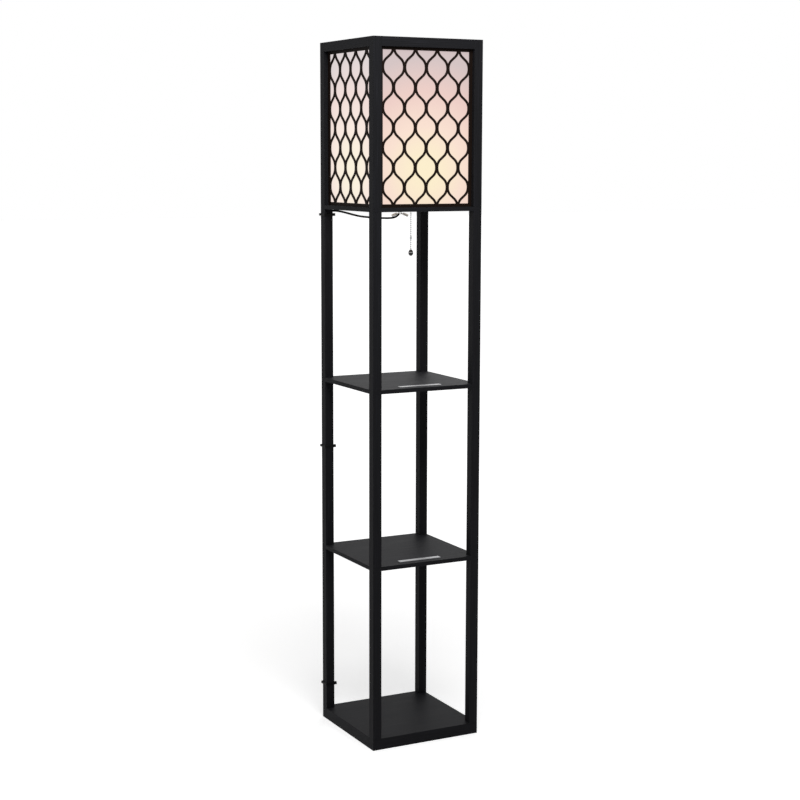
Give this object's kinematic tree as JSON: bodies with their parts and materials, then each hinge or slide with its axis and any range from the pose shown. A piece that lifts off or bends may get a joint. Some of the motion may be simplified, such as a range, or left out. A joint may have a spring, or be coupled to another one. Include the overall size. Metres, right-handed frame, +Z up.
{
  "type": "floor lamp",
  "caption": "Square shelf floor lamp: black posts, open shelves, and a lantern shade with an ogee lattice over a white diffuser and a pull-chain lamp holder.",
  "frame": {"origin": "middle of the square footprint, at floor level", "axes": "+Z up, -Y towards the front with the shelf strips, -X to the left"},
  "size_m": [0.2628, 0.3038, 1.525],
  "materials": {
    "black_foil": "black wood-grain foil, satin",
    "black_board": "black wood-grain foil on board, satin",
    "lattice_wood": "black stained, satin",
    "plain_wood": "raw",
    "diffuser": "white translucent sheet",
    "steel": "zinc plated",
    "silver_strip": "satin silver",
    "brass": "satin",
    "black_phenolic": "moulded",
    "aluminium": "bright",
    "chain_metal": "polished nickel",
    "knob_dark": "dark, with a bright band",
    "bulb_glass": "frosted",
    "crimp_plastic": "moulded",
    "lead_pvc": "black, semi-matt",
    "tie_plastic": "black nylon"
  },
  "bodies": {
    "root": {"base_bolts": "steel", "base_panel": "black_board", "base_rails": "black_foil", "cable_ties": "tie_plastic", "centre_contact": "brass", "cord_hank": "lead_pvc", "crimp_caps": "crimp_plastic", "crossbar_screws": "steel", "diffuser_panels": "diffuser", "frame_dowels": "plain_wood", "hank_tie": "tie_plastic", "lattice_back": "lattice_wood", "lattice_front": "lattice_wood", "lattice_left": "lattice_wood", "lattice_right": "lattice_wood", "nipple_nuts": "steel", "plug_body": "lead_pvc", "plug_prongs": "brass", "post_lower_back_left": "black_foil", "post_lower_back_right": "black_foil", "post_lower_front_left": "black_foil", "post_lower_front_right": "black_foil", "post_middle_back_left": "black_foil", "post_middle_back_right": "black_foil", "post_middle_front_left": "black_foil", "post_middle_front_right": "black_foil", "post_studs": "steel", "post_upper_back_left": "black_foil", "post_upper_back_right": "black_foil", "post_upper_front_left": "black_foil", "post_upper_front_right": "black_foil", "power_cord": "lead_pvc", "screw_shell": "aluminium", "shade_base_frame": "black_foil", "shade_post_back_left": "black_foil", "shade_post_back_right": "black_foil", "shade_post_front_left": "black_foil", "shade_post_front_right": "black_foil", "shelf_lower": "black_board", "shelf_strips": "silver_strip", "shelf_upper": "black_board", "socket_body": "black_phenolic", "socket_cap": "brass", "socket_crossbar": "steel", "socket_leads": "lead_pvc", "socket_shell": "brass", "threaded_nipple": "steel", "top_rail_back": "black_foil", "top_rail_front": "black_foil", "top_rail_left": "black_foil", "top_rail_right": "black_foil"},
    "switch_lever": {"switch_lever": "steel"},
    "chain_eyelet": {"chain_eyelet": "brass"},
    "pull_chain": {"pull_chain": "chain_metal", "chain_connector": "chain_metal", "chain_knob": "knob_dark"},
    "bulb_contact": {"bulb_contact": "black_phenolic"},
    "bulb_globe": {"bulb_globe": "bulb_glass", "bulb_cap": "aluminium"}
  },
  "joints": [
    {"name": "chain_pull", "type": "slide", "parent": "root", "child": "switch_lever", "axis": [0, 0, -1], "range_m": [0, 0.01], "stiffness_N_per_m": 250, "springref_m": -0.004},
    {"name": "link_swing", "type": "hinge", "parent": "switch_lever", "child": "chain_eyelet", "pos_m": [0.027, 0, 1.194], "axis": [1, 0, 0], "range_deg": [-25, 25]},
    {"name": "chain_swing", "type": "hinge", "parent": "chain_eyelet", "child": "pull_chain", "pos_m": [0.027, 0, 1.188], "axis": [0, -1, 0], "range_deg": [-8, 25]},
    {"name": "bulb_lift", "type": "slide", "parent": "root", "child": "bulb_contact", "axis": [0, 0, 1], "range_m": [0, 0.0146]},
    {"name": "bulb_turn", "type": "hinge", "parent": "bulb_contact", "child": "bulb_globe", "pos_m": [0, 0, 1.227], "axis": [0, 0, 1], "range_deg": [0, 1440]}
  ],
  "couplings": [
    {"joint": "bulb_lift", "follows": "bulb_turn", "m_per_rad": 0.00057757}
  ]
}
